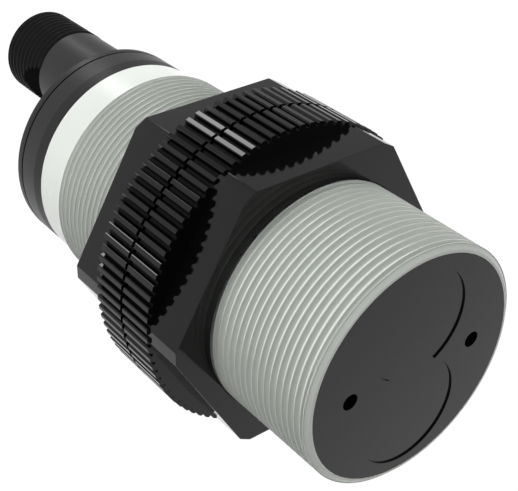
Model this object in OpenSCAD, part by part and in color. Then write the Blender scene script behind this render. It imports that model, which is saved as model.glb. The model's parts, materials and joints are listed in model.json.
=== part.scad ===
// Diffuse optical sensor in a threaded barrel with two ribbed fixing nuts,
// a translucent indicator ring and an off-centre round plug.
// The origin is the centre of the sensing face, +X points out of that face
// and +Z points from the barrel's axis towards the plug.

/* [Barrel] */
// Outer diameter of the barrel's thread
barrel_d = 30; // [26:0.5:36]
// Length of the barrel from the sensing face to the indicator ring
barrel_len = 50; // [42:1:80]
// Wall of the barrel, thread included
barrel_wall = 1.8; // [1.4:0.1:2.4]
// Chamfer round the front edge of the barrel
barrel_front_chamfer = 0.6; // [0.2:0.1:0.8]
// Chamfer round the rear edge of the barrel
barrel_rear_chamfer = 0.2; // [0.1:0.1:0.6]

/* [Front cover] */
// Width of the light rim that the barrel shows round the cover
cover_rim = 0.95; // [0.7:0.05:1.4]
// Thickness of the cover's plate
cover_t = 2.0; // [1.4:0.1:3]
// Share of the cover's diameter that each round field of the figure-eight takes
window_share = 0.4875; // [0.45:0.0025:0.5]
// Distance between each round field and the cover's edge
window_rim = 1.2; // [1:0.1:1.5]
// Depth of the figure-eight recess
window_depth = 0.35; // [0.1:0.05:0.8]
// Diameter of the two filling holes beside the recess
vent_d = 2.0; // [1:0.1:2.4]
// Distance between the two filling holes
vent_pitch = 18; // [16:0.5:20]
// Depth of the filling holes
vent_depth = 1.2; // [0.5:0.1:1.3]
// Length of the skirt that centres the cover in the barrel
skirt_len = 4.2; // [3:0.1:6]
// Wall of the skirt
skirt_wall = 1.4; // [1.2:0.1:1.6]

/* [Optics] */
// Wall of the holder outside each lens
lens_wall = 0.67; // [0.6:0.01:1.5]
// Thickness of the lens's flat rim
lens_rim_t = 1.6; // [1:0.1:2.4]
// Width of the lens's flat rim
lens_rim_w = 0.6; // [0.4:0.1:1]
// Radius of the lens's curved face
lens_curve = 8; // [6.5:0.5:12]
// Length of the holder from the cover to the optics board
holder_len = 10.5; // [8.5:0.5:14]
// Diameter of the light channel where it meets the optics board
channel_end_d = 5.2; // [5:0.1:6]
// Diameter of the light source's domed body
emitter_d = 3.2; // [2:0.1:4]
// Height of the light source below its dome
emitter_h = 1.4; // [0.8:0.1:3]
// Side of the receiver's square body
receiver_side = 3.2; // [2:0.1:3.4]
// Height of the receiver's body
receiver_h = 1.1; // [0.6:0.1:2]

/* [Boards] */
// Thickness of every circuit board
board_t = 1.2; // [0.8:0.1:1.6]
// Distance between the main board and the indicator ring round its tail
main_board_tail_gap = 1.6; // [1:0.1:3]
// Wall of the carrier's rails and rings
carrier_wall = 1.9; // [1.7:0.1:2.4]
// Depth by which the main board sits in its rails
rail_bite = 0.6; // [0.4:0.1:0.8]
// Width of each rail of the carrier
rail_w = 6; // [4:0.5:9]
// Length of the closed ring at each end of the carrier
carrier_ring_len = 3; // [2:0.5:5]
// Side of the signal chip
chip_side = 7; // [4:0.5:9]
// Height of the signal chip
chip_h = 1.5; // [0.8:0.1:2.5]
// Distance of the signal chip's centre from the front end of the board
chip_at = 10; // [6:0.5:14]
// Side of the output transistors
transistor_side = 3; // [2:0.1:4]
// Height of the output transistors
transistor_h = 1.2; // [0.8:0.1:2]
// Distance between the two output transistors
transistor_pitch = 8; // [6:0.5:12]
// Distance of the output transistors from the board's step
transistor_at = 6; // [3:0.5:8]
// Diameter of the smoothing capacitors
capacitor_d = 4; // [3:0.5:6]
// Height of the smoothing capacitors
capacitor_h = 5; // [3:0.5:7]
// Distance of the middle capacitor from the front end of the board
capacitor_at = 15; // [12:0.5:18]
// Distance from one capacitor to the next
capacitor_pitch = 7; // [6.5:0.5:8]
// Length of the indicator light sources
indicator_led_l = 1.6; // [1:0.1:2]
// Width of the indicator light sources
indicator_led_w = 1.2; // [0.8:0.1:1.6]
// Height of the indicator light sources
indicator_led_h = 0.8; // [0.4:0.1:1.2]
// Distance of the indicator light sources from the board's edge
indicator_led_inset = 2; // [1:0.1:3]

/* [Indicator ring] */
// Length of the ring that shows
ring_len = 5.45; // [4.6:0.05:9]
// Step from the barrel down to the ring and the end cap, which the nuts pass over
rear_step = 0.55; // [0.3:0.05:0.9]
// Length of the ring's spigot inside the barrel
ring_spigot_len = 5; // [4:0.5:8]
// Wall of the ring's spigot
ring_spigot_wall = 1.6; // [1.5:0.1:2]
// Wall of the ring round the cap's spigot
ring_seat_wall = 1.37; // [1.2:0.01:1.5]

/* [End cap] */
// Length of the cap from the indicator ring to its rear face
cap_len = 6.65; // [6.6:0.05:10]
// Open joint between the indicator ring and the cap
cap_joint = 0.2; // [0.05:0.05:0.3]
// Length of the tapered band at the front of the cap
cap_taper_len = 1.8; // [0.5:0.1:2.6]
// Depth of the tapered band at its front end
cap_taper = 0.3; // [0.1:0.1:0.6]
// Distance of the cap's fine groove from its rear face
cap_groove_at = 1.3; // [1:0.1:2]
// Width of the cap's fine groove
cap_groove_w = 0.25; // [0.1:0.05:0.5]
// Depth of the cap's fine groove
cap_groove_depth = 0.3; // [0.1:0.05:0.5]
// Chamfer round the cap's rear face
cap_chamfer = 0.25; // [0.1:0.05:0.6]
// Thickness of the cap's rear wall
cap_end_wall = 1.6; // [1.4:0.1:2]
// Length of the cap's spigot inside the indicator ring
cap_spigot_len = 3; // [2:0.1:3.6]
// Wall of the cap's spigot
cap_spigot_wall = 0.95; // [0.8:0.05:1]

/* [Plug] */
// Outer diameter of the plug's thread
plug_d = 12; // [11:0.5:13]
// Distance of the plug's outer side inside the cap's outer side
plug_inset = 0; // [0:0.05:1]
// Length of the plain neck
neck_len = 7.85; // [3:0.1:14]
// Step between the neck and the thread's outer diameter, on the radius
neck_step = 0.08; // [0.04:0.02:0.2]
// Length of the plug's thread
plug_thread_len = 9.65; // [8:0.1:12]
// Chamfer at the end of the plug's thread
plug_chamfer = 0.5; // [0.2:0.1:0.8]
// Diameter of the plug's socket
socket_d = 8.5; // [8.2:0.1:8.8]
// Depth of the plug's socket
socket_depth = 8.6; // [7:0.1:9.4]
// Width of the coding key in the socket
key_w = 1.3; // [0.8:0.1:1.6]
// Height of the coding key in the socket
key_h = 0.55; // [0.3:0.05:0.6]
// Direction of the relief flat, in degrees from +Y towards +Z
relief_angle = 190; // [150:1:230]
// Length of the relief flat along the thread
relief_len = 4.65; // [2:0.1:7]
// Depth of the relief flat at the neck
relief_depth = 0.86; // [0.4:0.02:1]
// Diameter of the contact pins
contact_d = 1; // [0.8:0.1:1.2]
// Diameter of the pins' solder tails
contact_tail_d = 0.7; // [0.5:0.1:0.7]
// Side of the square on which the four pins stand
contact_pitch = 4; // [3.6:0.1:4.4]
// Distance of the pins' tips inside the socket's mouth
contact_recess = 1.2; // [0.6:0.1:2]

/* [Adjuster] */
// Distance of the adjuster's axis from the wall of the cap's inner space
adjuster_rim = 4.6; // [4.4:0.1:6]
// Diameter of the adjuster's head
adjuster_d = 4; // [3.4:0.1:4.8]
// Distance of the adjuster's head inside the cap's rear face
adjuster_recess = 0.3; // [0.1:0.1:0.4]
// Diameter of the adjuster's collar inside the cap
adjuster_collar_d = 5.2; // [5:0.1:6]
// Thickness of the adjuster's collar
adjuster_collar_t = 0.5; // [0.3:0.1:0.6]
// Diameter of the adjuster's stem in the potentiometer
adjuster_stem_d = 1.8; // [1.2:0.1:2.4]
// Length of the adjuster's stem in the potentiometer
adjuster_stem_len = 1.6; // [1:0.1:2]
// Width of the screwdriver slot
slot_w = 0.8; // [0.5:0.1:1]
// Depth of the screwdriver slot
slot_depth = 0.4; // [0.2:0.1:0.5]
// Side of the potentiometer's square body
pot_side = 6.6; // [5:0.1:7]
// Thickness of the potentiometer's body
pot_t = 3; // [2.4:0.1:3.4]

/* [Nuts] */
// Distance of the front nut from the sensing face
nut_start = 16.3; // [6:0.1:18]
// Open space between the two nuts
nut_gap = 0.45; // [0.4:0.05:3]
// Wall of the nut at the hexagon's flats, thread included
hex_wall = 2.5; // [2:0.1:3]
// Distance by which the cut corners stand out beyond the flats
hex_corner_step = 2.2; // [1:0.1:2.4]
// Length of the hexagon
hex_len = 5.2; // [3:0.1:8]
// Wall of the nut at the top of the flange's ribs, thread included
flange_wall = 5.05; // [5:0.05:8]
// Length of the ribbed flange
flange_len = 5.05; // [3:0.05:8]
// Number of ribs round the flange
rib_count = 90; // [40:2:100]
// Height of the ribs
rib_h = 0.5; // [0.3:0.05:0.6]
// Share of the pitch that a rib's flat top takes
rib_top_share = 0.5; // [0.3:0.05:0.6]
// Share of the pitch that the floor between two ribs takes
rib_floor_share = 0.3; // [0.2:0.05:0.35]
// Chamfer at both ends of the nut's bore
nut_chamfer = 0.4; // [0.2:0.1:0.8]

/* [Fits] */
// Gap round pieces that are glued or pressed together
glue_gap = 0.03; // [0.01:0.01:0.06]
// Gap round pieces that turn or slide
running_gap = 0.05; // [0.02:0.01:0.08]
// Gap round pieces that slip into place
slip_gap = 0.1; // [0.05:0.05:0.2]
// Section of the sealing rings
seal_d = 0.8; // [0.6:0.05:0.9]
// Section of the adjuster's small sealing ring
small_seal_d = 0.5; // [0.4:0.05:0.6]

/* [Hidden] */
$fn = 96;
eps = 0.01;
// Slack round a sealing ring, so that it touches without biting
seal_slack = 0.01;

barrel_r = barrel_d / 2;
bore_r = barrel_r - barrel_wall;
cover_r = barrel_r - cover_rim;
skirt_r = bore_r - glue_gap;
skirt_inner_r = skirt_r - skirt_wall;
holder_r = skirt_inner_r - slip_gap;
window_d = 2 * cover_r * window_share;
optics_pitch = 2 * (cover_r - window_rim) - window_d;
lens_d = 2 * (holder_r - lens_wall) - optics_pitch;
lens_dome_r = lens_d / 2 - lens_rim_w;
carrier_r = bore_r - slip_gap;
carrier_inner_r = carrier_r - carrier_wall;
main_board_w = 2 * (carrier_inner_r + rail_bite);
rear_r = barrel_r - rear_step;
ring_spigot_r = bore_r - glue_gap;
ring_inner_r = ring_spigot_r - ring_spigot_wall;
main_board_tail_w = 2 * (ring_inner_r - main_board_tail_gap);
cap_spigot_r = rear_r - ring_seat_wall - glue_gap;
cap_bore_r = cap_spigot_r - cap_spigot_wall;
plug_r = plug_d / 2;
plug_offset = rear_r - plug_r - plug_inset;
neck_r = plug_r - neck_step;
socket_r = socket_d / 2;
adjuster_r = adjuster_d / 2;
adjuster_offset = cap_bore_r - adjuster_rim;
nut_bore_r = barrel_r + running_gap;
hex_af = barrel_d + 2 * hex_wall;
hex_corner_af = hex_af + 2 * hex_corner_step;
flange_r = barrel_r + flange_wall;

// Depths behind the sensing face
skirt_end = cover_t + skirt_len;
optics_board_at = cover_t + holder_len;
main_board_at = optics_board_at + board_t;
ring_at = barrel_len;
carrier_end = ring_at - ring_spigot_len - slip_gap;
ring_end = ring_at + ring_len;
cap_at = ring_end + cap_joint;
cap_end = ring_end + cap_len;
cap_floor = cap_end - cap_end_wall;
collar_at = cap_floor - slip_gap - adjuster_collar_t;
pot_end = collar_at - slip_gap;
pot_at = pot_end - pot_t;
rear_board_at = pot_at - board_t;
tail_at = carrier_end;
neck_end = cap_end + neck_len;
plug_end = neck_end + plug_thread_len;
socket_floor = plug_end - socket_depth;
groove_w = seal_d + 0.2;
front_seal_at = cover_t + skirt_len / 2;
rear_seal_at = ring_at - ring_spigot_len / 2;
small_groove_w = small_seal_d + 0.2;
small_seal_at = cap_floor + cap_end_wall / 2;
nut_len = hex_len + flange_len;
rear_nut_end = nut_start + 2 * nut_len + nut_gap;
led_at = (ring_at + ring_end) / 2;

// Lays a shape that stands on the sensing face along the barrel: its height
// becomes the depth behind the face and its x becomes +Z
module lay() {
    rotate([0, -90, 0]) children();
}

// A round bar between two depths
module bar(r, from, to) {
    translate([0, 0, from]) cylinder(r = r, h = to - from);
}

// A cone between two depths
module cone(r_from, r_to, from, to) {
    translate([0, 0, from]) cylinder(r1 = r_from, r2 = r_to, h = to - from);
}

// A round sealing ring at one depth
module seal_ring(mid_r, section, at) {
    translate([0, 0, at]) rotate_extrude() translate([mid_r, 0]) circle(d = section);
}

// A turned groove for a sealing ring, cut from the outside
module seal_groove(outer_r, depth, width, at) {
    difference() {
        bar(outer_r + 1, at - width / 2, at + width / 2);
        bar(outer_r - depth, at - width, at + width);
    }
}

// A rectangular block on one face of the main board
module on_board(size, depth, up, side) {
    y = side > 0 ? board_t / 2 : -board_t / 2 - size[1];
    translate([up - size[0] / 2, y, depth - size[2] / 2]) cube(size);
}

// Barrel, with the seat for the cover at its front end
module housing_tube() {
    color("#b3b9b1") lay() difference() {
        union() {
            cone(barrel_r - barrel_front_chamfer, barrel_r, 0, barrel_front_chamfer);
            bar(barrel_r, barrel_front_chamfer, barrel_len - barrel_rear_chamfer);
            cone(barrel_r, barrel_r - barrel_rear_chamfer, barrel_len - barrel_rear_chamfer, barrel_len);
        }
        bar(bore_r, -1, barrel_len + 1);
        bar(cover_r + glue_gap, -1, cover_t);
    }
}

// Dark cover with the figure-eight recess and the two filling holes
module front_cover() {
    color("#444444") lay() difference() {
        union() {
            bar(cover_r, 0, cover_t);
            bar(skirt_r, cover_t, skirt_end);
        }
        bar(skirt_inner_r, cover_t, skirt_end + 1);
        for (side = [-1, 1]) {
            translate([side * optics_pitch / 2, 0, 0]) bar(window_d / 2, -1, window_depth);
            translate([0, side * vent_pitch / 2, 0]) bar(vent_d / 2, -1, vent_depth);
        }
        seal_groove(skirt_r, seal_d - glue_gap, groove_w, front_seal_at);
    }
}

module front_seal() {
    color("#202020") lay() seal_ring(bore_r - seal_d / 2, seal_d - 2 * seal_slack, front_seal_at);
}

// Lens with a flat front, a flat rim and a curved rear face
module lens() {
    dome_base = cover_t + lens_rim_t;
    centre = dome_base - sqrt(lens_curve * lens_curve - lens_dome_r * lens_dome_r);
    bar(lens_d / 2, cover_t, dome_base);
    intersection() {
        translate([0, 0, centre]) sphere(r = lens_curve);
        bar(lens_dome_r, dome_base - eps, dome_base + lens_curve);
    }
}

module emitter_lens() {
    color("#cfe2e8") lay() translate([optics_pitch / 2, 0, 0]) lens();
}

module receiver_lens() {
    color("#cfe2e8") lay() translate([-optics_pitch / 2, 0, 0]) lens();
}

// Black holder that seats both lenses and keeps their light apart
module optics_holder() {
    color("#1c1c1c") lay() difference() {
        union() {
            bar(holder_r, cover_t, skirt_end + slip_gap);
            bar(carrier_r, skirt_end + slip_gap, optics_board_at);
        }
        for (side = [-1, 1]) translate([side * optics_pitch / 2, 0, 0]) {
            bar(lens_d / 2 + glue_gap, cover_t - 1, cover_t + lens_rim_t);
            cone(lens_dome_r + slip_gap, channel_end_d / 2, cover_t + lens_rim_t - eps, optics_board_at + eps);
        }
    }
}

module optics_board() {
    color("#2f6b3f") lay() bar(carrier_r, optics_board_at, main_board_at);
}

// Light source with a domed front
module emitter_led() {
    color("#7d1f1f") lay() translate([optics_pitch / 2, 0, optics_board_at - emitter_h]) {
        cylinder(d = emitter_d, h = emitter_h);
        difference() {
            sphere(d = emitter_d);
            bar(emitter_d, eps, emitter_d);
        }
    }
}

module receiver_diode() {
    color("#262a33") lay() translate([-optics_pitch / 2, 0, optics_board_at - receiver_h / 2])
        cube([receiver_side, receiver_side, receiver_h], center = true);
}

// Board along the barrel, stepped in where it passes the indicator ring
module main_board() {
    color("#2f6b3f") lay() {
        translate([-main_board_w / 2, -board_t / 2, main_board_at])
            cube([main_board_w, board_t, tail_at - main_board_at]);
        translate([-main_board_tail_w / 2, -board_t / 2, tail_at])
            cube([main_board_tail_w, board_t, rear_board_at - tail_at]);
    }
}

// Moulded frame: a ring at each end and two slotted rails for the main board
module board_carrier() {
    color("#3a3d42") lay() difference() {
        bar(carrier_r, main_board_at, carrier_end);
        bar(carrier_inner_r, main_board_at - 1, carrier_end + 1);
        for (side = [-1, 1]) translate([-barrel_r, side > 0 ? rail_w / 2 : -rail_w / 2 - barrel_d,
            main_board_at + carrier_ring_len])
            cube([barrel_d, barrel_d, carrier_end - main_board_at - 2 * carrier_ring_len]);
        translate([-main_board_w / 2 - glue_gap, -board_t / 2 - glue_gap, main_board_at - 1])
            cube([main_board_w + 2 * glue_gap, board_t + 2 * glue_gap, carrier_end - main_board_at + 2]);
    }
}

module signal_chip() {
    color("#202224") lay() on_board([chip_side, chip_h, chip_side], main_board_at + chip_at, 0, 1);
}

// Two output transistors beside the tail of the board
module output_transistors() {
    size = [transistor_side, transistor_h, transistor_side];
    color("#26282b") lay() for (side = [-0.5, 0.5])
        on_board(size, tail_at - transistor_at, side * transistor_pitch, 1);
}

// Three round capacitors standing on the other face of the board
module capacitors() {
    color("#8d949c") lay() for (i = [-1, 0, 1])
        translate([0, -board_t / 2, main_board_at + capacitor_at + i * capacitor_pitch])
            rotate([90, 0, 0]) cylinder(d = capacitor_d, h = capacitor_h);
}

// Small light sources on both faces of the board, behind the indicator ring
module indicator_leds() {
    size = [indicator_led_w, indicator_led_h, indicator_led_l];
    color("#f2efc8") lay() for (side = [-1, 1]) for (up = [-1, 1])
        on_board(size, led_at, up * (main_board_tail_w / 2 - indicator_led_inset), side);
}

// Translucent ring between the barrel and the end cap
module indicator_ring() {
    color("#eef2ee") lay() difference() {
        union() {
            bar(ring_spigot_r, ring_at - ring_spigot_len, ring_at);
            bar(rear_r, ring_at, ring_end);
        }
        bar(ring_inner_r, ring_at - ring_spigot_len - 1, ring_end + 1);
        bar(cap_spigot_r + glue_gap, cap_at - cap_spigot_len - glue_gap, ring_end + 1);
        seal_groove(ring_spigot_r, seal_d - glue_gap, groove_w, rear_seal_at);
    }
}

module rear_seal() {
    color("#202020") lay() seal_ring(bore_r - seal_d / 2, seal_d - 2 * seal_slack, rear_seal_at);
}

// Centres of the four contact pins, in the plug's own place
function contact_at(i) = [
    plug_offset + (i == 1 || i == 2 ? 0.5 : -0.5) * contact_pitch,
    (i == 1 || i == 4 ? 0.5 : -0.5) * contact_pitch, 0];

module rear_board() {
    color("#2f6b3f") lay() difference() {
        bar(cap_bore_r - slip_gap, rear_board_at, pot_at);
        for (i = [1:4]) translate(contact_at(i))
            bar(contact_tail_d / 2 + glue_gap, rear_board_at - 1, pot_at + 1);
    }
}

// End cap, moulded with the neck and the threaded plug
module end_cap() {
    groove_front = cap_end - cap_groove_at - cap_groove_w;
    groove_back = cap_end - cap_groove_at;
    color("#4e4e50") lay() difference() {
        union() {
            rotate_extrude() polygon([
                [0, cap_at - cap_spigot_len], [cap_spigot_r, cap_at - cap_spigot_len],
                [cap_spigot_r, cap_at], [rear_r - cap_taper, cap_at],
                [rear_r, cap_at + cap_taper_len], [rear_r, groove_front],
                [rear_r - cap_groove_depth, groove_front], [rear_r - cap_groove_depth, groove_back],
                [rear_r, groove_back], [rear_r, cap_end - cap_chamfer],
                [rear_r - cap_chamfer, cap_end], [0, cap_end]]);
            translate([plug_offset, 0, 0]) {
                bar(neck_r, cap_end - eps, neck_end);
                bar(plug_r, neck_end, plug_end - plug_chamfer);
                cone(plug_r, plug_r - plug_chamfer, plug_end - plug_chamfer, plug_end);
            }
        }
        bar(cap_bore_r, 0, cap_floor);
        translate([plug_offset, 0, 0]) difference() {
            bar(socket_r, cap_floor - eps, plug_end + 1);
            translate([socket_r - key_h, -key_w / 2, socket_floor])
                cube([socket_r, key_w, plug_end - socket_floor - plug_chamfer]);
        }
        translate([-adjuster_offset, 0, 0]) bar(adjuster_r + running_gap, cap_floor - 1, cap_end + 1);
        translate([plug_offset, 0, 0]) relief();
    }
}

// Wedge that leaves the sloping flat on the plug's thread, deepest at the neck
module relief() {
    rotate([0, 0, 90 - relief_angle]) translate([0, 0, neck_end]) rotate([90, 0, 0])
        translate([0, 0, -plug_r]) linear_extrude(height = plug_d)
            polygon([[plug_r - relief_depth, 0], [plug_r + 1, 0], [plug_r + 1, relief_len],
                [plug_r, relief_len]]);
}

// Insulating insert that closes the neck and holds the four pins
module contact_carrier() {
    color("#18181a") lay() difference() {
        translate([plug_offset, 0, 0]) bar(socket_r - glue_gap, cap_floor, socket_floor);
        for (i = [1:4]) translate(contact_at(i))
            bar(contact_d / 2 + glue_gap, cap_floor - 1, socket_floor + 1);
    }
}

// One contact pin: a thin tail through the rear board and a rounded tip
module contact_pin(i) {
    tip = plug_end - contact_recess - contact_d / 2;
    color("#c9b26a") lay() translate(contact_at(i)) {
        bar(contact_tail_d / 2, rear_board_at, pot_at + eps);
        bar(contact_d / 2, pot_at, tip);
        translate([0, 0, tip]) sphere(d = contact_d);
    }
}

module potentiometer() {
    color("#2b5ea8") lay() translate([-adjuster_offset, 0, 0]) difference() {
        translate([-pot_side / 2, -pot_side / 2, pot_at]) cube([pot_side, pot_side, pot_t]);
        bar(adjuster_stem_d / 2 + running_gap, pot_end - adjuster_stem_len - slip_gap, pot_end + 1);
    }
}

// Slotted adjuster that turns in the cap's rear wall
module adjuster_screw() {
    head_end = cap_end - adjuster_recess;
    color("#d9d9d4") lay() translate([-adjuster_offset, 0, 0]) difference() {
        union() {
            bar(adjuster_stem_d / 2, pot_end - adjuster_stem_len, collar_at + eps);
            bar(adjuster_collar_d / 2, collar_at, collar_at + adjuster_collar_t);
            bar(adjuster_r, collar_at + adjuster_collar_t - eps, head_end);
        }
        translate([-adjuster_d, -slot_w / 2, head_end - slot_depth]) cube([2 * adjuster_d, slot_w, slot_depth + 1]);
        seal_groove(adjuster_r, small_seal_d - running_gap, small_groove_w, small_seal_at);
    }
}

module adjuster_seal() {
    color("#202020") lay() translate([-adjuster_offset, 0, 0])
        seal_ring(adjuster_r + running_gap - small_seal_d / 2, small_seal_d - 2 * seal_slack, small_seal_at);
}

// A point of the flange's outline, at a share of the pitch
function rib_point(r, i, share) =
    let (a = (i + share) * 360 / rib_count)
    [r * cos(a), r * sin(a)];

// Fixing nut that stands on the face of its hexagon, flange upwards
module nut() {
    floor_r = flange_r - rib_h;
    difference() {
        union() {
            intersection() {
                rotate([0, 0, 30]) cylinder(d = hex_af / cos(30), h = hex_len, $fn = 6);
                cylinder(d = hex_corner_af / cos(30), h = hex_len, $fn = 6);
            }
            translate([0, 0, hex_len]) linear_extrude(height = flange_len) polygon([
                for (i = [0:rib_count - 1]) each [
                    rib_point(flange_r, i, -rib_top_share / 2), rib_point(flange_r, i, rib_top_share / 2),
                    rib_point(floor_r, i, (1 - rib_floor_share) / 2),
                    rib_point(floor_r, i, (1 + rib_floor_share) / 2)]]);
            bar((nut_bore_r + hex_af / 2) / 2, 0, nut_len);
        }
        bar(nut_bore_r, -1, nut_len + 1);
        cone(nut_bore_r + nut_chamfer, nut_bore_r, 0, nut_chamfer);
        cone(nut_bore_r, nut_bore_r + nut_chamfer, nut_len - nut_chamfer, nut_len);
    }
}

module front_nut() {
    color("#333333") lay() translate([0, 0, nut_start]) nut();
}

module rear_nut() {
    color("#333333") lay() translate([0, 0, rear_nut_end]) mirror([0, 0, 1]) nut();
}

housing_tube();
front_cover();
front_seal();
emitter_lens();
receiver_lens();
optics_holder();
optics_board();
emitter_led();
receiver_diode();
main_board();
board_carrier();
signal_chip();
output_transistors();
capacitors();
indicator_leds();
indicator_ring();
rear_seal();
rear_board();
end_cap();
contact_carrier();
contact_pin(1);  // contact_pin_1
contact_pin(2);  // contact_pin_2
contact_pin(3);  // contact_pin_3
contact_pin(4);  // contact_pin_4
potentiometer();
adjuster_screw();
adjuster_seal();
front_nut();
rear_nut();
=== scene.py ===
"""Optical sensor with a threaded barrel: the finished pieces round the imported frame, and a studio."""
import json
import math

import bmesh
import bpy
from mathutils import Matrix, Quaternion, Vector


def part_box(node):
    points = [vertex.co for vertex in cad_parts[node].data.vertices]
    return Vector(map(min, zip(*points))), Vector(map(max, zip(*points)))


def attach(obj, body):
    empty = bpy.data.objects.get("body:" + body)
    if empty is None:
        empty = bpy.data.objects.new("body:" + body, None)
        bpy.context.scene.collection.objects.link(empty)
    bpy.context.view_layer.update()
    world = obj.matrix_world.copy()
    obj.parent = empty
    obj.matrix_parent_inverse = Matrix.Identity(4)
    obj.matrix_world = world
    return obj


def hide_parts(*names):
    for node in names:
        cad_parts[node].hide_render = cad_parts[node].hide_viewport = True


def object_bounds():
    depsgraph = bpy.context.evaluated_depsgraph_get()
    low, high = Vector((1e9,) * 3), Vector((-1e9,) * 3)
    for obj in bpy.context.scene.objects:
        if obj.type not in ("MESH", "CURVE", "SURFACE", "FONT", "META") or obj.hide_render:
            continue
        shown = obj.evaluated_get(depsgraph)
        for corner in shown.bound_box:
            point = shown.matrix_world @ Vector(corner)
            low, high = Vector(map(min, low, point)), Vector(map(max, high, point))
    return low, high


bl_info = {
    "name": "Optical sensor",
    "version": (1, 0, 0),
    "blender": (4, 5, 0),
    "location": "View3D > Sidebar > Sensor",
    "description": "Builds the threads, cover, nuts, cap and finishes of a barrel sensor",
    "category": "Add Mesh",
}

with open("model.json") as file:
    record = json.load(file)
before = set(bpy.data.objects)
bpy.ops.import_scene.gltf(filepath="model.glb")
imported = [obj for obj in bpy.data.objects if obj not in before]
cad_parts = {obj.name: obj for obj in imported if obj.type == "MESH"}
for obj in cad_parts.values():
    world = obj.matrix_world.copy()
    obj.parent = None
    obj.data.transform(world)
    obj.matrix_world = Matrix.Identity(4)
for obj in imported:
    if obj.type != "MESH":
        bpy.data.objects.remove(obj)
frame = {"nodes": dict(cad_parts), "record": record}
CAD_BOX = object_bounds()
NODES = frame["nodes"]

MM = 0.001
TURN = 2 * math.pi
WHITE = (1, 1, 1, 1)
SQUARE = ((-1, -1), (1, -1), (1, 1), (-1, 1))
IMAGE_W, IMAGE_H = 518, 491

# Distances in metres below which two points are one: in any mesh, and where a thread meets its bar
DOUBLES = 1e-7
TINY = 1e-6

# What keeps a whole number of turns from being rounded down, and how much of an edge a fillet may take
NUDGE = 0.001
FILLET_SHARE = 0.49

# How strongly wide faces pull the smooth shading flat
FACE_WEIGHT = 100

BARREL_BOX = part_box("housing_tube")
COVER_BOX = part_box("front_cover")
FRONT_NUT_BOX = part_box("front_nut")
REAR_NUT_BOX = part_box("rear_nut")
RING_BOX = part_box("indicator_ring")
CAP_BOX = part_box("end_cap")
CARRIER_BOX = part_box("contact_carrier")
ADJUSTER_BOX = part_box("adjuster_screw")

# Steps round each turned shape
NUT_STEPS = 144
CAP_STEPS = 180
PLUG_STEPS = 112
SOCKET_STEPS = 96
HOLE_STEPS = 64

# Small roundings of the turned outlines
SEAT_EDGE = 0.03 * MM
REAR_RIM_EDGE = 0.05 * MM
FRONT_RIM_EDGE = 0.25 * MM
FRONT_RIM_SHOULDER = 0.2 * MM
FLANGE_EDGE = 0.1 * MM
CAP_FRONT_EDGE = 0.05 * MM
CAP_SHOULDER_EDGE = 0.3 * MM
CAP_GROOVE_EDGE = 0.04 * MM
CAP_REAR_EDGE = 0.1 * MM
PLUG_END_EDGE = 0.05 * MM

# The cap: its rear wall, inner space, spigot, front taper and rear chamfer
CAP_WALL = 1.6 * MM
CAP_BORE = 12.1 * MM
CAP_SPIGOT = 13.05 * MM
CAP_TAPER = 1.8 * MM
CAP_TAPER_DROP = 0.3 * MM
CAP_REAR_CHAMFER = 0.25 * MM

# The fine groove round the cap, measured from the rear face
CAP_GROOVE_FRONT = 1.55 * MM
CAP_GROOVE_BACK = 1.3 * MM
CAP_GROOVE_DEPTH = 0.3 * MM

# The plug: the reach of its bar into the cap, its thread's run-out and the pad under the sloping flat
PLUG_OVERLAP = 0.8 * MM
PLUG_FADE = 0.3 * MM
PAD_SECTIONS = 14
PAD_SPARE = 0.05 * MM

# The cutters in the cap: how far they reach in front of the rear face, and the adjuster's hole
CUT_REACH = 2 * MM
HOLE_RADIUS = 2.05 * MM
HOLE_CHAMFER = 0.15 * MM
HOLE_SPARE = 0.01 * MM

# Which faces of the nuts lie between the ribs: how far below the flange, and the largest lean in degrees
GROOVE_BELOW = 0.2 * MM
GROOVE_LEAN = 55

# Angles in degrees past which an edge is drawn sharp, and the start of the ribs' own angle past the hexagon
BARREL_SHARP = 35
NUT_SHARP = 31
RIB_SHARP = 10
CAP_SHARP = 40
RIB_ZONE = 0.1 * MM

# Flow marks and skin of every moulded finish, and how much each changes the sheen
FLOW_SCALE = 90
FLOW_RANGE = (0.3, 0.6)
FLOW_SHEEN = 0.3
SKIN_ROUGHNESS = 0.6
SKIN_DEPTH = 0.05 * MM
SKIN_SHEEN = 0.4
GRAIN_DETAIL = 3.0

# Finishes of the pieces that are built here: roughness, strength and scale of the skin, shade of the marks
SURFACES = {
    "barrel_plastic": {"roughness": 0.2, "texture": 0.03, "scale": 3200, "Specular_IOR_Level": 0.3},
    "cover_plastic": {"roughness": 0.06, "texture": 0.01, "scale": 2000, "shade": 0.94,
                      "Specular_IOR_Level": 0.25},
    "nut_plastic": {"roughness": 0.09, "texture": 0.02, "scale": 2400, "shade": 0.8,
                    "Specular_IOR_Level": 0.265},
    "nut_groove": {"roughness": 0.6, "texture": 0.05, "shade": 0.8, "Specular_IOR_Level": 0.08},
    "cap_plastic": {"roughness": 0.38, "texture": 0.04, "scale": 2600, "shade": 0.85,
                    "Specular_IOR_Level": 0.25},
    "plug_black": {"roughness": 0.2, "texture": 0.03, "scale": 2600, "Specular_IOR_Level": 0.13},
}

# Painted shade on the sloping flat: a dull black in linear values with its finish, and how near in degrees a
# face has to lie to it
RELIEF_PAINTED_SHADE = (0.002, 0.002, 0.002)
RELIEF_SURFACE = {"roughness": 0.8, "Specular_IOR_Level": 0.02}
RELIEF_LEAN = 1.5

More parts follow.
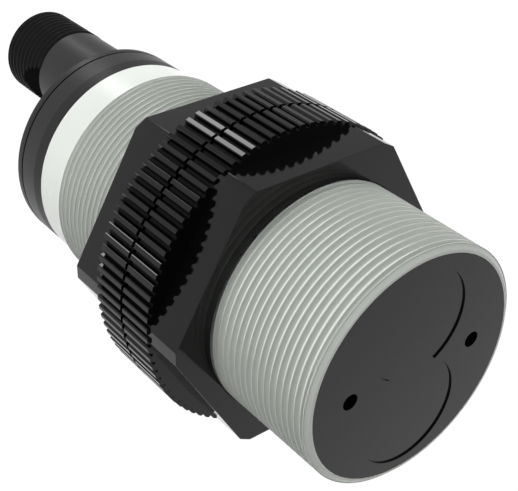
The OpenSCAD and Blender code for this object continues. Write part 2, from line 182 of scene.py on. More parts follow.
# Finishes of the carried-over pieces by slot, each with its colour as a screen shows it
CARRIED = {
    "ring_plastic": {"shown": (0.865, 0.88, 0.86), "roughness": 0.25, "texture": 0.02, "scale": 1800,
                     "shade": 0.98, "Specular_IOR_Level": 0.25},
    "black_plastic": {"shown": (0.09, 0.09, 0.095), "roughness": 0.5, "texture": 0.2},
    "carrier_plastic": {"shown": (0.23, 0.24, 0.26), "roughness": 0.5, "texture": 0.2},
    "seal_rubber": {"shown": (0.1, 0.1, 0.1), "roughness": 0.7, "texture": 0.25, "scale": 3000},
    "board_laminate": {"shown": (0.12, 0.36, 0.2), "roughness": 0.3, "texture": 0.1, "scale": 1500},
    "chip_plastic": {"shown": (0.13, 0.13, 0.14), "roughness": 0.55, "texture": 0.25},
    "capacitor_can": {"shown": (0.78, 0.79, 0.8), "roughness": 0.35, "texture": 0.08, "Metallic": 1.0},
    "led_red": {"shown": (0.62, 0.12, 0.12), "roughness": 0.15, "texture": 0.02},
    "led_white": {"shown": (0.93, 0.92, 0.8), "roughness": 0.2, "texture": 0.02},
    "contact_gold": {"shown": (0.88, 0.74, 0.42), "roughness": 0.22, "texture": 0.04, "Metallic": 1.0},
    "pot_plastic": {"shown": (0.17, 0.36, 0.66), "roughness": 0.4, "texture": 0.15},
    "adjuster_brass": {"shown": (0.8, 0.72, 0.5), "roughness": 0.3, "texture": 0.08, "scale": 1500,
                       "Metallic": 1.0},
}
LENS_SHOWN = (0.9, 0.95, 0.96)
LENS_SURFACE = {"roughness": 0.05, "Transmission_Weight": 0.9, "IOR": 1.49}

# The camera's image width in millimetres and its clipping distances in metres
FILM_WIDTH = 36
CLIP_FROM, CLIP_TO = 0.005, 10

# Floor and card: their paper, half widths and glow, the share that the glow has in what is seen of the
# floor, and the card's distance and direction from the origin
PAPER_GREY = (0.5, 0.5, 0.5)
PAPER_ROUGHNESS = 0.9
FLOOR_HALF = 3.0
FLOOR_GLOW = 1.05
FLOOR_SHARE = 0.95
CARD_HALF = 0.7
CARD_AWAY = 0.9
CARD_WAY = (-0.7, 0.55, 0.45)
CARD_GLOW = 0.64

# The place that the lamps shine on, and their distance from it in metres
LAMP_TARGET = (-27 * MM, 0, 0)
LAMP_AWAY = 0.6

# Lamps: name, azimuth and elevation in degrees, width in metres, power, and the kind of surface they light
LAMPS = (
    ("left", -100, 42, 0.25, 2.4, "diffuse"),
    ("top", 0, 88, 0.25, 1.25, "diffuse"),
    ("back_right", 120, 42, 0.25, 1.6, "diffuse"),
    ("low_right", 120, 10, 0.25, 2.1, "diffuse"),
    ("front_right", 35, 10, 0.25, 0.75, "diffuse"),
    ("front", 0, 10, 0.25, 0.8, "diffuse"),
    ("low_left", -110, 8, 0.25, 0.6, "diffuse"),
    ("sheen", 168, 43, 0.14, 0.42, "glossy"),
)


# Node trees as Python expressions

class Net:
    """A node tree that is built by expressions on its sockets."""

    def __init__(self, tree):
        self.tree = tree

    def add(self, kind, settings=None, sockets=None):
        """Adds a node, sets its settings first and then fills its sockets with values or links."""
        made = self.tree.nodes.new(kind)
        for name, value in (settings or {}).items():
            setattr(made, name, value)
        for name, value in (sockets or {}).items():
            self.fill(made.inputs[name], value)
        return made

    def fill(self, socket, value):
        """Links a term to a socket, or sets a plain value on it."""
        if isinstance(value, Term):
            self.tree.links.new(value.socket, socket)
        elif isinstance(value, bpy.types.NodeSocket):
            self.tree.links.new(value, socket)
        else:
            socket.default_value = value

    def math(self, operation, *values):
        """One Math node on numbers or terms."""
        made = self.add("ShaderNodeMath", {"operation": operation}, dict(enumerate(values)))
        return Term(self, made.outputs[0])

    def term(self, made, output=0):
        """An output of a node, as a term."""
        return Term(self, made.outputs[output])


class Term:
    """A number in a node tree, for use in Python expressions."""

    def __init__(self, net, socket):
        self.net = net
        self.socket = socket

    def __add__(self, other):
        return self.net.math("ADD", self, other)

    def __sub__(self, other):
        return self.net.math("SUBTRACT", self, other)

    def __mul__(self, other):
        return self.net.math("MULTIPLY", self, other)

    def __truediv__(self, other):
        return self.net.math("DIVIDE", self, other)

    def __radd__(self, other):
        return self.net.math("ADD", other, self)

    def __rsub__(self, other):
        return self.net.math("SUBTRACT", other, self)

    def __rmul__(self, other):
        return self.net.math("MULTIPLY", other, self)

    def __abs__(self):
        return self.net.math("ABSOLUTE", self)

    def ramp(self, low, high):
        """0 below low, 1 above high and a straight rise between them."""
        made = self.net.add("ShaderNodeMapRange", None, {"Value": self, "From Min": low, "From Max": high})
        return self.net.term(made)

    def smooth(self, low, high):
        """0 below low, 1 above high and a smooth rise between them."""
        made = self.net.add("ShaderNodeMapRange", {"interpolation_type": "SMOOTHSTEP"},
                            {"Value": self, "From Min": low, "From Max": high})
        return self.net.term(made)


# Meshes

def new_piece(name, mesh):
    """Links a mesh to the scene as a piece at the origin."""
    piece = bpy.data.objects.new(name, mesh)
    bpy.context.scene.collection.objects.link(piece)
    return piece


def mesh_from(name, points, faces):
    """A mesh from its points and faces."""
    mesh = bpy.data.meshes.new(name)
    mesh.from_pydata(points, [], faces)
    mesh.update()
    return mesh


def turned(name, outline, steps, up=0.0):
    """Revolves an outline of (x, radius) points about the line z = up; a radius of 0 is a pole."""
    points, rings = [], []
    for x, radius in outline:
        if radius == 0:
            rings.append([len(points)])
            points.append((x, 0.0, up))
            continue
        rings.append(list(range(len(points), len(points) + steps)))
        for i in range(steps):
            angle = TURN * i / steps
            points.append((x, radius * math.cos(angle), up + radius * math.sin(angle)))
    faces = []
    for a, b in zip(rings, rings[1:]):
        for i in range(steps):
            j = (i + 1) % steps
            corners = [a[i % len(a)], a[j % len(a)], b[j % len(b)], b[i % len(b)]]
            faces.append(list(dict.fromkeys(corners)))
    return mesh_from(name, points, faces)


def rounded(outline, steps=3):
    """Replaces each corner (x, radius, fillet) of an outline by an arc of that fillet."""
    corners = [(Vector(p[:2]), p[2] if len(p) > 2 else 0.0) for p in outline]
    made = []
    for i, (point, fillet) in enumerate(corners):
        if fillet == 0 or i in (0, len(corners) - 1):
            made.append(tuple(point))
            continue
        before, after = corners[i - 1][0] - point, corners[i + 1][0] - point
        half = before.angle(after) / 2
        room = FILLET_SHARE * min(before.length, after.length)
        reach = min(fillet / math.tan(half), room)
        start, end = point + before.normalized() * reach, point + after.normalized() * reach
        for k in range(steps + 1):
            t = k / steps
            made.append(tuple(start * (1 - t) ** 2 + point * 2 * t * (1 - t) + end * t ** 2))
    return made


def cleaned(mesh):
    """Merges doubles, dissolves faces of no size and turns every face outwards."""
    work = bmesh.new()
    work.from_mesh(mesh)
    bmesh.ops.remove_doubles(work, verts=work.verts, dist=DOUBLES)
    bmesh.ops.dissolve_degenerate(work, edges=work.edges, dist=DOUBLES)
    bmesh.ops.recalc_face_normals(work, faces=work.faces)
    work.to_mesh(mesh)
    work.free()
    mesh.update()
    return mesh


def sharpen_beyond(mesh, radius, angle):
    """Also marks edges as sharp that turn by more than the angle and lie beyond a radius from the X axis."""
    work = bmesh.new()
    work.from_mesh(mesh)
    for edge in work.edges:
        outside = all(math.hypot(vert.co.y, vert.co.z) > radius for vert in edge.verts)
        if outside and edge.calc_face_angle(0) > math.radians(angle):
            edge.smooth = False
    work.to_mesh(mesh)
    work.free()


def smooth_shaded(piece, angle, rim=None, rim_angle=0):
    """Smooth shading that keeps wide faces flat, sharp past the angle and past another beyond the rim."""
    mesh = cleaned(piece.data)
    mesh.polygons.foreach_set("use_smooth", [True] * len(mesh.polygons))
    mesh.set_sharp_from_angle(angle=math.radians(angle))
    if rim:
        sharpen_beyond(mesh, rim, rim_angle)
    modifier = piece.modifiers.new("shade", "WEIGHTED_NORMAL")
    modifier.mode = "FACE_AREA"
    modifier.weight = FACE_WEIGHT
    modifier.keep_sharp = True
    bake_modifiers(piece)


def prism(name, corners, x_from, x_to, bevel, segments=2):
    """A prism along X over (y, z) corners, with all its edges rounded."""
    count = len(corners)
    points = [(x, y, z) for x in (x_from, x_to) for y, z in corners]
    faces = [list(range(count)), list(range(2 * count - 1, count - 1, -1))]
    faces += [[i, (i + 1) % count, count + (i + 1) % count, count + i] for i in range(count)]
    mesh = cleaned(mesh_from(name, points, faces))
    if bevel:
        work = bmesh.new()
        work.from_mesh(mesh)
        bmesh.ops.bevel(work, geom=work.edges, offset=bevel, segments=segments, profile=0.5,
                        affect="EDGES", clamp_overlap=True)
        work.to_mesh(mesh)
        work.free()
    return mesh


def combined(target, operation, *tools):
    """Joins the tools to the target piece or cuts them from it, and removes them."""
    for tool in tools:
        modifier = target.modifiers.new("form", "BOOLEAN")
        modifier.operation = operation
        modifier.solver = "EXACT"
        modifier.object = tool
        bake_modifiers(target)
        bpy.data.objects.remove(tool)
    return target


def bake_modifiers(piece):
    """Turns what the modifiers show into the piece's own plain mesh."""
    bpy.context.view_layer.update()
    graph = bpy.context.evaluated_depsgraph_get()
    mesh = bpy.data.meshes.new_from_object(piece.evaluated_get(graph))
    piece.modifiers.clear()
    old, piece.data = piece.data, mesh
    bpy.data.meshes.remove(old)
    mesh.name = piece.name


def grown(piece, tree, values):
    """Runs a geometry tree on the piece with the given inputs and keeps the result as a plain mesh."""
    modifier = piece.modifiers.new("form", "NODES")
    modifier.node_group = tree
    for item in tree.interface.items_tree:
        if item.item_type == "SOCKET" and item.in_out == "INPUT" and item.name in values:
            modifier[item.identifier] = values[item.name]
    bake_modifiers(piece)
    return piece


# Geometry trees

def geometry_tree(name, inputs):
    """A geometry tree with a geometry input and output and the named inputs (kind, default)."""
    tree = bpy.data.node_groups.new(name, "GeometryNodeTree")
    tree.interface.new_socket("Geometry", in_out="INPUT", socket_type="NodeSocketGeometry")
    tree.interface.new_socket("Geometry", in_out="OUTPUT", socket_type="NodeSocketGeometry")
    for label, (kind, default) in inputs.items():
        socket = tree.interface.new_socket(label, in_out="INPUT", socket_type=kind)
        if default is not None:
            socket.default_value = default
    net = Net(tree)
    source = net.add("NodeGroupInput")
    terms = {label: net.term(source, label) for label in inputs}
    return net, source.outputs["Geometry"], terms


def close_tree(net, geometry, material):
    """Ends a tree in Realize Instances and Set Material."""
    real = net.add("GeometryNodeRealizeInstances", None, {"Geometry": geometry})
    painted = net.add("GeometryNodeSetMaterial", None, {"Geometry": real.outputs[0], "Material": material})
    net.add("NodeGroupOutput", None, {"Geometry": painted.outputs[0]})
    return net.tree


def thread_tree():
    """A threaded sleeve that follows a true right-hand helix and ends flush at both rims."""
    net, source, size = geometry_tree("thread_sleeve", {
        "Start": ("NodeSocketFloat", 0.0),
        "Length": ("NodeSocketFloat", 0.01),
        "Radius": ("NodeSocketFloat", 0.006),
        "Up": ("NodeSocketFloat", 0.0),
        "Pitch": ("NodeSocketFloat", 0.001),
        "Depth": ("NodeSocketFloat", 0.0005),
        "Root": ("NodeSocketFloat", 0.307),
        "Crest": ("NodeSocketFloat", 0.92),
        "Lean": ("NodeSocketFloat", 1.21),
        "Fade": ("NodeSocketFloat", 0.0005),
        "Steps": ("NodeSocketInt", 8),
        "Segments": ("NodeSocketInt", 96),
        "Material": ("NodeSocketMaterial", None),
    })
    # The grid has a row for each step along the thread and a column for each step round it
    turns = net.math("CEIL", size["Length"] / size["Pitch"]) + 2
    rows = turns * size["Steps"]
    columns = size["Segments"]
    grid = net.add("GeometryNodeMeshGrid", None, {
        "Size X": rows, "Size Y": columns, "Vertices X": rows + 1, "Vertices Y": columns + 1})
    place = net.add("ShaderNodeSeparateXYZ", None, {0: net.add("GeometryNodeInputPosition").outputs[0]})
    row = net.math("ROUND", net.term(place, "X") + rows / 2)
    column = net.math("ROUND", net.term(place, "Y") + columns / 2)
    share = column / columns
    # From 0 in the groove to 1 on the crest, where the lean puts rows on the corners at Root and Crest
    turn = row / size["Steps"] + 0.5
    whole = net.math("FLOOR", turn + NUDGE)
    wave = 1 - abs(2 * (turn - whole) - 1)
    across = wave + size["Lean"] * wave * wave * (1 - wave)
    # The place along the axis goes with the helix and is kept between the two rims
    side = net.math("SIGN", turn - whole - 0.5)
    raw = size["Pitch"] * (whole + side * (0.5 - across / 2) - share)
    run = net.math("MINIMUM", net.math("MAXIMUM", raw, 0.0), size["Length"])
    # The groove's depth, which runs out at both rims
    rise = across.ramp(size["Root"], size["Crest"])
    fade_in = run.smooth(0.0, size["Fade"])
    fade_out = (size["Length"] - run).smooth(0.0, size["Fade"])
    cut = size["Depth"] * (1 - rise) * net.math("MINIMUM", fade_in, fade_out)
    radius = size["Radius"] - cut
    angle = share * TURN
    spot = net.add("ShaderNodeCombineXYZ", None, {
        "X": size["Start"] - run,
        "Y": radius * net.math("COSINE", angle),
        "Z": radius * net.math("SINE", angle) + size["Up"]})
    sleeve = net.add("GeometryNodeSetPosition", None, {
        "Geometry": grid.outputs["Mesh"], "Position": spot.outputs[0]})
    both = net.add("GeometryNodeJoinGeometry")
    net.tree.links.new(source, both.inputs[0])
    net.tree.links.new(sleeve.outputs[0], both.inputs[0])
    merged = net.add("GeometryNodeMergeByDistance", None, {"Geometry": both.outputs[0], "Distance": TINY})
    return close_tree(net, merged.outputs[0], size["Material"])


def ring_of_tree():
    """Repeats the incoming shape round the X axis."""
    net, source, size = geometry_tree("ring_of", {
        "Count": ("NodeSocketInt", 90),
        "First angle": ("NodeSocketFloat", 0.0),
        "Material": ("NodeSocketMaterial", None),
    })
    spots = net.add("GeometryNodeMeshLine", None, {
        "Count": size["Count"], "Start Location": (0, 0, 0), "Offset": (0, 0, 0)})
    angle = net.term(net.add("GeometryNodeInputIndex")) * TURN / size["Count"] + size["First angle"]
    turn = net.add("ShaderNodeCombineXYZ", None, {"X": angle})
    copies = net.add("GeometryNodeInstanceOnPoints", None, {
        "Points": spots.outputs["Mesh"], "Instance": source, "Rotation": turn.outputs[0]})
    return close_tree(net, copies.outputs[0], size["Material"])


# Finishes

def finish(name, colour, roughness, **extra):
    """A new material and its net, with the plain values set on the shader's own sockets."""
    material = bpy.data.materials.new(name)
    material.use_nodes = True
    net = Net(material.node_tree)
    shader = net.tree.nodes["Principled BSDF"]
    shader.inputs["Base Color"].default_value = (*colour[:3], 1)
    shader.inputs["Roughness"].default_value = roughness
    for label, value in extra.items():
        shader.inputs[label.replace("_", " ")].default_value = value
    material.diffuse_color = (*colour[:3], 1)
    return material, net, shader


def grain(net, scale, roughness=0.5):
    """Noise on the object's own coordinates, from 0 to 1."""
    spot = net.add("ShaderNodeTexCoord").outputs["Object"]
    made = net.add("ShaderNodeTexNoise", {"noise_dimensions": "3D"},
                   {"Vector": spot, "Scale": scale, "Detail": GRAIN_DETAIL, "Roughness": roughness})
    return net.term(made, "Fac")


def tinted(net, colour, shade, factor):
    """A colour that goes from the shade at a factor of 0 to the full colour at 1."""
    made = net.add("ShaderNodeMix", {"data_type": "RGBA", "blend_type": "MIX"}, {"Factor": factor})
    net.fill(made.inputs[6], (*shade[:3], 1))
    net.fill(made.inputs[7], (*colour[:3], 1))
    return made.outputs[2]


def moulded(name, shown, roughness, texture=0.15, scale=2600, shade=0.86, painted_shade=None, **extra):
    """Moulded plastic: a fine eroded skin, darker flow marks or painted shade by place, and an uneven sheen.
    """
    colour = linear(shown)
    material, net, shader = finish(name, colour, roughness, **extra)
    flow = grain(net, FLOW_SCALE)
    skin = grain(net, scale, SKIN_ROUGHNESS)
    # A given function paints shade by place; without one, the flow marks make it darker here and there
    factor = painted_shade(net) if painted_shade else flow.smooth(*FLOW_RANGE)
    net.fill(shader.inputs["Base Color"], tinted(net, colour, [c * shade for c in colour], factor))
    uneven = 1 + (skin - 0.5) * SKIN_SHEEN + (flow - 0.5) * FLOW_SHEEN
    net.fill(shader.inputs["Roughness"], roughness * uneven)
    bump = net.add("ShaderNodeBump", None, {"Strength": texture, "Distance": SKIN_DEPTH, "Height": skin})
    net.fill(shader.inputs["Normal"], bump.outputs[0])
    return material


def painted_thread_shade(net, low, high, front):
    """Where painted shade falls on the thread: 1 at its foot and further in, and 0, full shade, at its crest
    and in front of it.
    """
    place = net.add("ShaderNodeSeparateXYZ", None, {0: net.add("ShaderNodeTexCoord").outputs["Object"]})
    x, y, z = [net.term(place, axis) for axis in "XYZ"]
    depth = 1 - net.math("SQRT", y * y + z * z).ramp(low, high)
    return depth * net.math("LESS_THAN", x, front)


def linear(colour):
    """A colour as a screen shows it, as the linear values of the shader."""
    return [c / 12.92 if c <= 0.04045 else ((c + 0.055) / 1.055) ** 2.4 for c in colour]


def seen_plainly(net):
    """1 for rays from the camera, from shiny surfaces and through clear ones, and 0 for all others."""
    path = net.add("ShaderNodeLightPath")
    labels = ("Is Camera Ray", "Is Glossy Ray", "Is Transmission Ray")
    camera, glossy, clear = [net.term(path, label) for label in labels]
    return net.math("MAXIMUM", camera, net.math("MAXIMUM", glossy, clear))


# Settings

def colour_property(name, description, default):
    """A colour as a screen shows it."""
    return bpy.props.FloatVectorProperty(name=name, description=description, default=default, size=3,
                                         min=0, max=1, subtype="COLOR_GAMMA")


def length_property(name, description, default):
    """A length in metres."""
    return bpy.props.FloatProperty(name=name, description=description, default=default, min=0,
                                   precision=5, unit="LENGTH")


def share_property(name, description, default):
    """A share from 0 to 1."""
    return bpy.props.FloatProperty(name=name, description=description, default=default, min=0, max=1,
                                   subtype="FACTOR")


def angle_property(name, description, default):
    """An angle, with its default in degrees."""
    return bpy.props.FloatProperty(name=name, description=description, default=math.radians(default),
                                   subtype="ANGLE")


def count_property(name, description, default, least):
    """A whole number."""
    return bpy.props.IntProperty(name=name, description=description, default=default, min=least)


def strength_property(name, description, default):
    """A factor from 0 upwards."""
    return bpy.props.FloatProperty(name=name, description=description, default=default, min=0)


class BarrelSettings(bpy.types.PropertyGroup):
    """Sizes and colour of the threaded barrel"""
    wall: length_property("Wall", "Wall of the barrel", 1.8 * MM)
    seat: length_property("Seat", "Depth of the seat for the cover", 2.0 * MM)
    clearance: length_property("Clearance", "Room between the cover and its seat", 0.03 * MM)
    chamfer: length_property("Chamfer", "Chamfer at the front rim", 0.6 * MM)
    rear_chamfer: length_property("Rear chamfer", "Chamfer at the rear rim", 0.2 * MM)
    fade: length_property("Fade", "Stretch over which the thread runs out at its ends", 0.4 * MM)
    segments: count_property("Segments", "Steps round the barrel", 144, 24)
    # Painted shade: the crests and the front rim are drawn darker than the thread's foot
    crest_painted_shade: share_property("Crest tone", "Tone of the crests and the front rim, as a share of the colour",
                               0.71)
    pitch: length_property("Pitch", "Distance from one thread ridge to the next", 1.0 * MM)
    depth: length_property("Depth", "Depth of the thread", 0.55 * MM)
    thread_start: length_property("Thread start", "Distance of the thread's start behind the front face",
                                  0.47 * MM)
    colour: colour_property("Colour", "Colour of the barrel at the thread's foot", (0.82, 0.837, 0.813))


class CoverSettings(bpy.types.PropertyGroup):
    """Sizes and colour of the front cover"""
    recess: length_property("Recess", "Depth of the figure-eight recess", 0.2 * MM)
    full_recess: length_property("Full recess", "Depth of the recess in the packed part", 0.35 * MM)
    sunk: length_property("Sunk", "How far the fill reaches into the plate", 0.1 * MM)
    radius: length_property("Radius", "Radius of the fill, just over each round field's", 6.87 * MM)
    pitch: length_property("Pitch", "Distance between the two round fields", 12 * MM)
    segments: count_property("Segments", "Steps round each field", 128, 24)
    colour: colour_property("Colour", "Colour of the cover's plastic", (0.06, 0.06, 0.06))


class NutSettings(bpy.types.PropertyGroup):
    """Sizes and colour of the two fixing nuts"""
    flats: length_property("Across flats", "Distance across the hexagon's flats", 35 * MM)
    corners: length_property("Across corners", "Distance across the faces that cut the corners", 39.4 * MM)
    hexagon: length_property("Hexagon", "Length of the hexagon", 5.2 * MM)
    ribs: count_property("Ribs", "Number of ribs round the flange", 90, 8)
    rib_height: length_property("Rib height", "Height of the ribs over the flange", 0.5 * MM)
    rib_top: share_property("Rib top", "Share of the pitch that the rib's top takes", 0.44)
    rib_floor: share_property("Rib floor", "Share of the pitch that the floor takes", 0.26)
    rib_edge: length_property("Rib edge", "Width of the chamfer along the ribs' edges", 0.14 * MM)
    edge_turn: angle_property("Edge turn", "Turn from a rib's top to its chamfer", 53)
    rib_bevel: length_property("Rib bevel", "Small bevel on all edges of the ribs", 0.01 * MM)
    first_rib: angle_property("First rib", "Angle of the first rib from the side", 2)
    hex_edge: length_property("Hexagon edge", "Rounding of the hexagon's edges", 0.06 * MM)
    overlap: length_property("Overlap", "How far the hexagon reaches into the flange", 0.5 * MM)
    sunk: length_property("Sunk", "How far each rib reaches into the flange", 0.3 * MM)
    clearance: length_property("Clearance", "Running room between the nut and the barrel", 0.05 * MM)
    chamfer: length_property("Chamfer", "Chamfer at the mouths of the bore", 0.1 * MM)
    colour: colour_property("Colour", "Colour of the nuts' plastic", (0.013, 0.013, 0.013))
    groove_colour: colour_property("Groove colour", "Colour between the ribs", (0.03, 0.03, 0.03))


class CapSettings(bpy.types.PropertyGroup):
    """Sizes and colour of the end cap with its plug"""
    neck_end: length_property("Neck end", "Distance of the neck's end behind the front", 69.95 * MM)
    cap_end: length_property("Cap end", "Distance of the cap's rear face behind the front", 62.1 * MM)
    offset: length_property("Offset", "Distance of the plug's axis from the barrel's axis", 8.45 * MM)
    plug_radius: length_property("Plug radius", "Outer radius of the plug's thread", 6.0 * MM)
    neck_radius: length_property("Neck radius", "Radius of the plain neck", 5.92 * MM)
    pitch: length_property("Pitch", "Distance from one ridge of the plug's thread to the next", 1.0 * MM)
    depth: length_property("Depth", "Depth of the plug's thread", 0.45 * MM)
    joint: length_property("Joint", "Open joint between the ring and the cap", 0.2 * MM)
    relief_length: length_property("Relief length", "Length of the sloping flat beside the neck", 4.65 * MM)
    relief_depth: length_property("Relief depth", "Depth of the sloping flat at the neck", 0.86 * MM)
    relief_angle: angle_property("Relief angle", "Direction of the sloping flat", 190)
    chamfer: length_property("Chamfer", "Chamfer of the plug's end", 0.5 * MM)
    socket_radius: length_property("Socket radius", "Radius of the socket in the plug", 4.25 * MM)
    key_width: length_property("Key width", "Width of the coding key in the socket", 1.3 * MM)
    key_height: length_property("Key height", "Height of the coding key in the socket", 0.55 * MM)
    colour: colour_property("Colour", "Colour of the cap's plastic", (0.12, 0.12, 0.122))
    thread_colour: colour_property("Thread colour", "Colour of the plug's thread", (0.045, 0.045, 0.045))


class StageSettings(bpy.types.PropertyGroup):
    """Camera, lamps and floor"""
    azimuth: angle_property("Azimuth", "Turn of the camera about the vertical", 53.041)
    elevation: angle_property("Elevation", "Height of the camera over the horizon", 35.041)
    roll: angle_property("Roll", "Tilt of the camera about its own line of sight", 0.561)
    eye: bpy.props.FloatVectorProperty(name="Eye", description="Place of the camera", unit="LENGTH",
                                       default=(63.222 * MM, -72.861 * MM, 77.861 * MM), size=3)
    lens: bpy.props.FloatProperty(name="Lens", description="Focal length on a 36 mm wide image",
                                  default=78.782, min=10)
    centre: bpy.props.FloatVectorProperty(name="Centre",
                                          description="Pixel that the line of sight falls on",
                                          default=(225.855, 278.675), size=2)
    key: strength_property("Key", "Strength of the lamp for shiny surfaces", 1.0)
    fill: strength_property("Fill", "Strength of the lamps for matt surfaces", 1.0)


def settings():
    """The settings of the scene that is open."""
    return bpy.context.scene.sensor_settings


class SensorSettings(bpy.types.PropertyGroup):
    """All settings of the sensor"""
    barrel: bpy.props.PointerProperty(type=BarrelSettings, name="Barrel", description="Threaded barrel")
    cover: bpy.props.PointerProperty(type=CoverSettings, name="Cover", description="Front cover")
    nuts: bpy.props.PointerProperty(type=NutSettings, name="Nuts", description="Fixing nuts")
    cap: bpy.props.PointerProperty(type=CapSettings, name="Cap", description="End cap and plug")
    stage: bpy.props.PointerProperty(type=StageSettings, name="Stage",
                                     description="Camera, lamps and floor")


# Pieces

class SENSOR_OT_barrel(bpy.types.Operator):
    """Builds the barrel with its fine thread and the seat for the cover"""
    bl_idname = "sensor.barrel"
    bl_label = "Barrel"

    def execute(self, context):
        size = settings().barrel
        radius, rear = BARREL_BOX[1].z, BARREL_BOX[0].x
        start, foot = -size.thread_start, radius - size.depth
        # The crests and the front rim get painted shade, darker than the thread's foot
        plastic = moulded("barrel_plastic", size.colour, shade=size.crest_painted_shade,
                          painted_shade=lambda net: painted_thread_shade(net, foot, radius, start),
                          **SURFACES["barrel_plastic"])
        mesh = turned("barrel", self.outline(size, radius, rear), size.segments)
        piece = grown(new_piece("barrel", mesh), thread_tree(), {
            "Start": start, "Length": start - rear - size.rear_chamfer, "Radius": radius,
            "Up": 0.0, "Pitch": size.pitch, "Depth": size.depth, "Fade": size.fade,
            "Segments": size.segments, "Material": plastic})
        piece.data.materials.clear()
        piece.data.materials.append(plastic)
        smooth_shaded(piece, BARREL_SHARP)
        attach(piece, "sensor")
        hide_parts("housing_tube")
        return {"FINISHED"}

    def outline(self, size, radius, rear):
        """The barrel's outline without the thread, from the rear rim through the bore to the front rim."""
        bore = radius - size.wall
        seat = COVER_BOX[1].z + size.clearance
        # It doubles back at its end, because the chamfer ends a little behind the thread's start
        return rounded([
            (rear + size.rear_chamfer, radius), (rear, radius - size.rear_chamfer, REAR_RIM_EDGE),
            (rear, bore), (-size.seat, bore), (-size.seat, seat), (0, seat, SEAT_EDGE),
            (0, radius - size.chamfer, FRONT_RIM_EDGE), (-size.chamfer, radius, FRONT_RIM_SHOULDER),
            (-size.thread_start, radius)])


class SENSOR_OT_cover(bpy.types.Operator):
    """Builds the front cover with its shallow figure-eight recess"""
    bl_idname = "sensor.cover"
    bl_label = "Cover"

    def execute(self, context):
        size = settings().cover
        node = NODES["front_cover"]
        mesh = node.data.copy()
        mesh.transform(node.matrix_world)
        piece = new_piece("cover", cleaned(mesh))
        front, back = -size.recess, -size.full_recess - size.sunk
        outline = [(front, 0), (front, size.radius), (back, size.radius), (back, 0)]
        for up in (-size.pitch / 2, size.pitch / 2):
            fill = turned("fill", outline, size.segments, up)
            combined(piece, "UNION", new_piece("fill", cleaned(fill)))
        plastic = moulded("cover_plastic", size.colour, **SURFACES["cover_plastic"])
        piece.data.materials.clear()
        piece.data.materials.append(plastic)
        cleaned(piece.data)
        piece.data.shade_flat()
        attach(piece, "sensor")
        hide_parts("front_cover")
        return {"FINISHED"}


